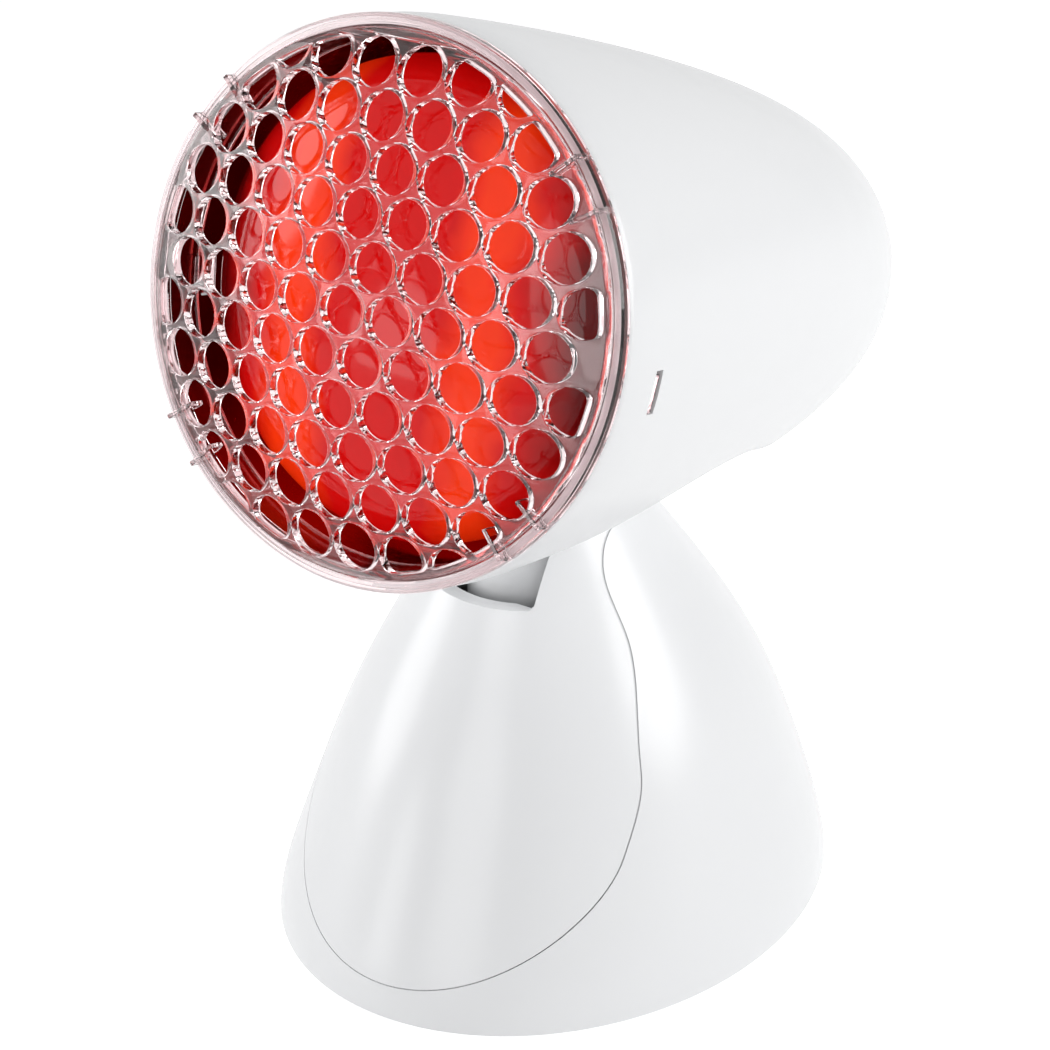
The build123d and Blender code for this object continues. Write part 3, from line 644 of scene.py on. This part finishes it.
@dataclass
class Grille:
    """The clear domed grille: a honeycomb of round holes, and a rim with skirt, ribs and hooks."""

    rise: float = 8.8
    rim_radius: float = 50.0
    plate_radius: float = 52.2
    thickness: float = 2.4
    edge: float = 0.22
    pitch: float = 10.5
    hole: float = 4.72
    field: float = 50.7
    least: float = 2.4
    rows: int = 6
    plate_steps: int = 240
    hole_steps: int = 44
    softenings: int = 3
    rim_profile: tuple[Point2, ...] = (
        (52.25, 3.3), (52.25, 2.75), (52.7, 2.9), (53.0, 2.3), (53.5, 1.8), (54.1, 1.72),
        (54.6, 1.95), (54.9, 2.6), (54.9, 4.42), (52.2, 4.42), (52.2, 12.4), (51.9, 12.5),
        (50.8, 12.5), (50.6, 12.2), (50.6, 3.3))
    tabs: tuple[float, ...] = (36.5, 143.5, -41.5, -138.5)
    tab_half_angle: float = 5.6
    tab_radii: Point2 = (47.8, 54.6)
    tab_depths: Point2 = (-0.1, 3.6)
    tab_width: float = 1.0
    hooks: tuple[float, ...] = (-6.0, 186.0)
    hook_width: float = 7.6
    hook_leg: tuple[Point2, Point2] = ((50.7, 52.1), (11.5, 17.9))
    hook_nose: tuple[Point2, Point2] = ((51.0, 54.5), (16.1, 17.9))
    soft_edge: float = 0.25
    nose_edge: float = 0.3

    def places(self) -> list[Point2]:
        """Middles of the holes in the plane of the mouth."""
        found = []
        for row in range(-self.rows, self.rows + 1):
            for column in range(-self.rows, self.rows + 1):
                x = (column + row % 2 / 2) * self.pitch
                y = row * self.pitch * sqrt(3) / 2
                if hypot(x, y) < self.field + self.hole - self.least and abs(x) < self.field:
                    found.append((x, y))
        return found

    def outline(self, centre: Point2) -> list[Point2]:
        """A hole's outline, cut off at the border of the field.

        Args:
            centre: the hole's middle.

        Returns:
            The outline's points in millimetres.
        """
        points = []
        for k in range(self.hole_steps):
            x = centre[0] + self.hole * cos(2 * pi * k / self.hole_steps)
            y = centre[1] + self.hole * sin(2 * pi * k / self.hole_steps)
            keep = min(1.0, self.field / hypot(x, y))
            points.append(Vector((x * keep, y * keep)))
        if all(p.length < self.field - 0.01 for p in points):
            return [(p.x, p.y) for p in points]
        return self.softened(points)

    def softened(self, points: list[Vector]) -> list[Point2]:
        """Space an outline's points evenly and round its corners.

        Args:
            points: the outline's points.

        Returns:
            As many points, evenly spaced.
        """
        count = len(points)
        spans = [(q - p).length for p, q in zip(points, points[1:] + points[:1])]
        step = sum(spans) / count
        even, start, walked = [], 0, 0.0
        for k in range(count):
            while start < count - 1 and walked + spans[start] <= k * step:
                walked += spans[start]
                start += 1
            share = (k * step - walked) / max(spans[start], 1e-9)
            even.append(points[start].lerp(points[(start + 1) % count], min(share, 1.0)))
        for _ in range(self.softenings):
            even = [(even[k - 1] + even[k] * 2 + even[(k + 1) % count]) / 4 for k in range(count)]
        return [(p.x, p.y) for p in even]

    def dome(self, radius: float) -> float:
        """Height of the dome's outer face above the mouth's plane."""
        return self.rise * (1 - (radius / self.rim_radius) ** 2)

    def plate(self) -> bpy.types.Mesh:
        """The perforated plate, filled flat with rounded hole edges and then domed."""
        curve = bpy.data.curves.new("grille_plate", "CURVE")
        curve.dimensions = "2D"
        curve.fill_mode = "BOTH"
        curve.extrude = (self.thickness / 2 - self.edge) * MM
        curve.bevel_depth = self.edge * MM
        curve.bevel_resolution = 3
        curve.offset = -self.edge * MM
        turns = [2 * pi * k / self.plate_steps for k in range(self.plate_steps)]
        rim = [(self.plate_radius * cos(turn), self.plate_radius * sin(turn)) for turn in turns]
        for points in [rim] + [self.outline(place) for place in self.places()]:
            spline = curve.splines.new("POLY")
            spline.points.add(len(points) - 1)
            for point, (x, y) in zip(spline.points, points):
                point.co = (x * MM, y * MM, 0.0, 1.0)
            spline.use_cyclic_u = True
        flat = bpy.data.objects.new("grille_plate", curve)
        mesh = bpy.data.meshes.new_from_object(flat)
        bpy.data.objects.remove(flat)
        work = bmesh.new()
        work.from_mesh(mesh)
        bpy.data.meshes.remove(mesh)
        for vertex in work.verts:
            x, y, height = vertex.co / MM
            radius = hypot(x, y)
            depth = -(self.dome(radius) - self.thickness / 2 + height)
            vertex.co = AXES.point(radius, atan2(y, x), depth)
        return finished_mesh("grille_plate", work)

    def rim(self) -> bpy.types.Mesh:
        """The rim with its groove and bead, and the skirt that enters the housing."""
        work = bmesh.new()
        work.from_mesh(spun("grille_rim", self.rim_profile, self.plate_steps))
        for angle in self.hooks:
            block(work, angle, *self.hook_leg, self.hook_width, self.soft_edge)
            block(work, angle, *self.hook_nose, self.hook_width, self.nose_edge)
        for angle in self.tabs:
            for side in (-self.tab_half_angle, self.tab_half_angle):
                block(work, angle + side, self.tab_radii, self.tab_depths, self.tab_width,
                      self.soft_edge)
        return finished_mesh("grille_rim", work)

    def build(self, book: FinishBook) -> None:
        """Build the grille's plate and rim in place of its CAD node."""
        for name, mesh in (("grille_plate", self.plate()), ("grille_rim", self.rim())):
            # clear_plastic's pink tint is painted red light from the bulb.
            piece = add_piece(name, mesh, book.made["clear_plastic"], Body.HEAD, sharp=16.0)
            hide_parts("protective_grille")
            book.dress(piece, "clear_plastic")


@dataclass
class Bulb:
    """The reflector bulb's smooth glass envelope, threaded cap and coiled filament."""

    glass: tuple[Point2, ...] = (
        (0.0, 4.0), (12.0, 4.5), (22.0, 5.6), (33.0, 7.4), (41.0, 9.7), (45.6, 13.0), (47.4, 18.0),
        (46.8, 28.0), (43.6, 41.0), (37.6, 55.0), (30.0, 69.5), (22.4, 82.0), (16.2, 93.0),
        (13.2, 102.0), (12.5, 111.0), (12.5, 121.0))
    glass_steps: int = 6
    glass_turns: int = 160
    face_depth: float = 15.0
    thickness: float = 1.0
    cap_radius: float = 13.2
    cap_bore: float = 12.6
    cap_depths: Point2 = (115.0, 134.0)
    cap_rings: int = 76
    cap_turns: int = 96
    thread_pitch: float = 3.6
    thread_height: float = 0.9
    thread_run_out: float = 2.0
    coil_circle: float = 11.0
    coil_depth: float = 50.0
    coil_radius: float = 0.45
    coil_turns: int = 60
    coil_steps: int = 8
    coil_arc: float = 270.0
    wire_radius: float = 0.09
    stem_radius: float = 2.8
    stem_top: float = 78.0

    def envelope(self) -> bpy.types.Mesh:
        """The glass as a thin turned shell, open at the cap's end."""
        outside = smooth_curve(self.glass, self.glass_steps)
        lining = []
        for radius, depth in outside:
            inward = self.thickness if depth < self.face_depth else 0.0
            lining.append((max(radius - self.thickness, 0.0), depth + inward))
        return spun("bulb_envelope", outside + lining[::-1], self.glass_turns)

    def cap(self) -> bpy.types.Mesh:
        """The screw cap with its rolled round thread, wound as a helix."""
        turns = [2 * pi * k / self.cap_turns for k in range(self.cap_turns)]
        front, back = self.cap_depths
        outer, inner = [], []
        for row in range(self.cap_rings + 1):
            depth = front + (back - front) * row / self.cap_rings
            fade = min(1.0, min(depth - front, back - depth) / self.thread_run_out)
            ring = []
            for turn in turns:
                wave = 0.5 - 0.5 * cos(2 * pi * (depth / self.thread_pitch) - turn)
                drop = self.thread_height * wave * fade * 0.5
                ring.append(AXES.point(self.cap_radius - drop, turn, depth))
            outer.append(ring)
            inner.append([AXES.point(self.cap_bore, turn, depth) for turn in turns])
        return skin("bulb_cap_shell", outer, inner)

    def filament(self) -> bpy.types.Mesh:
        """The coiled filament on its two supports, as round wire."""
        start = (360 - self.coil_arc) / 2
        path = [AXES.point(self.stem_radius, radians(start), self.stem_top)]
        steps = self.coil_turns * self.coil_steps
        for k in range(steps + 1):
            turn = radians(start + self.coil_arc * k / steps)
            wind = 2 * pi * k / self.coil_steps
            radius = self.coil_circle + self.coil_radius * cos(wind)
            path.append(AXES.point(radius, turn, self.coil_depth + self.coil_radius * sin(wind)))
        path.append(AXES.point(self.stem_radius, radians(-start), self.stem_top))
        curve = bpy.data.curves.new("coil", "CURVE")
        curve.dimensions = "3D"
        curve.bevel_depth = self.wire_radius * MM
        curve.bevel_resolution = 1
        curve.use_fill_caps = True
        spline = curve.splines.new("POLY")
        spline.points.add(len(path) - 1)
        for point, place in zip(spline.points, path):
            point.co = (*place, 1.0)
        wire = bpy.data.objects.new("coil", curve)
        mesh = bpy.data.meshes.new_from_object(wire)
        bpy.data.objects.remove(wire)
        return mesh

    def build(self, book: FinishBook) -> None:
        """Build the bulb's three detailed pieces in place of their CAD nodes."""
        plans: tuple[tuple[str, Callable[[], bpy.types.Mesh], str, str], ...] = (
            # red_glass carries painted reflection bands and painted shade toward the glass's edge.
            ("bulb_envelope", self.envelope, "red_glass", "bulb_glass"),
            ("bulb_cap_shell", self.cap, "nickelled_brass", "bulb_cap"),
            ("filament_coil", self.filament, "tungsten", "filament"),
        )
        for name, make, slot, node in plans:
            piece = add_piece(name, make(), book.made[slot], Body.HEAD)
            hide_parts(node)
            book.dress(piece, slot)


# ---------------------------------------------------------------- studio


@dataclass(frozen=True)
class SoftLamp:
    """A large soft lamp that points at the object."""

    name: str
    place: tuple[float, float, float]
    size: float
    power: float

    def build(self, target: Vector) -> None:
        """Hang the lamp and point it at the target."""
        light = bpy.data.lights.new(self.name, "AREA")
        light.shape = "DISK"
        light.size = self.size
        light.energy = self.power
        lamp = bpy.data.objects.new(self.name, light)
        lamp.location = self.place
        lamp.rotation_euler = (target - Vector(self.place)).to_track_quat("-Z", "Y").to_euler()
        bpy.context.scene.collection.objects.link(lamp)


@dataclass
class Studio:
    """The pale floor, the pale surroundings, the soft lamps and the camera."""

    target: tuple[float, float, float] = (0.0, 0.0, 0.1)
    floor_size: float = 12.0
    floor_cells: int = 24
    floor_colour: Colour = (0.9, 0.9, 0.9)
    floor_mottle: float = 0.005
    floor_lift: float = 0.5
    white: Colour = (1.0, 1.0, 1.0)
    sky: Colour = (0.98, 0.99, 1.0)
    surroundings: float = 0.32
    camera_place: tuple[float, float, float] = (0.3218, -0.4855, 0.3771)
    camera_forward: tuple[float, float, float] = (-0.5034, 0.7393, -0.4473)
    camera_right: tuple[float, float, float] = (0.8267, 0.5626, 0.0)
    lens: float = 103.84
    sensor: float = 36.0
    nearest: float = 0.01
    lamps: tuple[SoftLamp, ...] = (
        SoftLamp("left_lamp", (-1.35, -0.6, 0.45), 0.9, 7.3),
        SoftLamp("right_lamp", (1.3, 0.5, 0.6), 0.9, 10.8),
        SoftLamp("top_lamp", (0.0, 0.1, 1.7), 1.0, 2.6),
        SoftLamp("front_lamp", (0.2, -1.5, 0.5), 0.9, 5.2),
        SoftLamp("low_left_lamp", (-0.75, -1.32, 0.13), 0.4, 1.3),
    )

    def seen_share(self, tree: bpy.types.NodeTree) -> bpy.types.NodeSocket:
        """A socket that is 1 for what the camera, glossy and transmitted rays see.

        Args:
            tree: the node tree to add it to.

        Returns:
            The socket.
        """
        path = tree.nodes.new("ShaderNodeLightPath")
        socket = path.outputs["Is Camera Ray"]
        for name in ("Is Glossy Ray", "Is Transmission Ray"):
            either = tree.nodes.new("ShaderNodeMath")
            either.operation = "MAXIMUM"
            tree.links.new(socket, either.inputs[0])
            tree.links.new(path.outputs[name], either.inputs[1])
            socket = either.outputs[0]
        return socket

    def build_world(self) -> None:
        """White surroundings to look at, with a softer level of light from them."""
        world = bpy.data.worlds.new("surroundings")
        world.use_nodes = True
        tree = world.node_tree
        tree.nodes.clear()
        mix = tree.nodes.new("ShaderNodeMixShader")
        tree.links.new(self.seen_share(tree), mix.inputs["Fac"])
        lights = ((self.sky, self.surroundings), (self.white, 1.0))
        for into, (colour, strength) in enumerate(lights, 1):
            light = tree.nodes.new("ShaderNodeBackground")
            light.inputs["Color"].default_value = (*colour, 1.0)
            light.inputs["Strength"].default_value = strength
            tree.links.new(light.outputs[0], mix.inputs[into])
        output = tree.nodes.new("ShaderNodeOutputWorld")
        tree.links.new(mix.outputs[0], output.inputs["Surface"])
        bpy.context.scene.world = world

    def build_floor(self) -> None:
        """A pale floor that keeps the object's soft shadow and fades into white."""
        work = bmesh.new()
        bmesh.ops.create_grid(work, x_segments=self.floor_cells, y_segments=self.floor_cells,
                              size=self.floor_size / 2)
        mesh = finished_mesh("studio_floor", work)
        board = NodeBoard("studio_floor")
        dark = shaded(self.floor_colour, 1 - self.floor_mottle)
        board.tint(board.noise(6.0), dark, self.floor_colour)
        board.values(Roughness=0.9, Specular_IOR_Level=0.1, Emission_Color=(*self.white, 1.0))
        lift = board.add("ShaderNodeMath", operation="MULTIPLY")
        lift.inputs[1].default_value = self.floor_lift
        board.tree.links.new(self.seen_share(board.tree), lift.inputs[0])
        board.join(lift, 0, board.shader, "Emission Strength")
        mesh.materials.append(board.material)
        floor = bpy.data.objects.new("studio_floor", mesh)
        bpy.context.scene.collection.objects.link(floor)

    def build_camera(self) -> None:
        """The camera at its measured place, level and without shift."""
        forward = Vector(self.camera_forward).normalized()
        right = Vector(self.camera_right).normalized()
        up = right.cross(forward)
        turn = Matrix((right, up, -forward)).transposed()
        data = bpy.data.cameras.new("view_camera")
        data.sensor_fit = "HORIZONTAL"
        data.sensor_width = self.sensor
        data.lens = self.lens
        data.clip_start = self.nearest
        camera = bpy.data.objects.new("view_camera", data)
        camera.matrix_world = Matrix.Translation(self.camera_place) @ turn.to_4x4()
        bpy.context.scene.collection.objects.link(camera)
        bpy.context.scene.camera = camera

    def build(self) -> None:
        """Set up the whole studio."""
        bpy.context.scene.view_settings.view_transform = "Standard"
        self.build_camera()
        self.build_world()
        self.build_floor()
        for lamp in self.lamps:
            lamp.build(Vector(self.target))


def main() -> None:
    """Build the studio and the lamp's pieces in order."""
    logging.basicConfig(level=logging.INFO, format="%(message)s")
    Studio().build()
    book = FinishBook()
    book.dress_nodes()
    for part in (Housing(), Grille(), Bulb()):
        LOG.info("building %s", type(part).__name__)
        part.build(book)


if __name__ == "__main__":
    main()
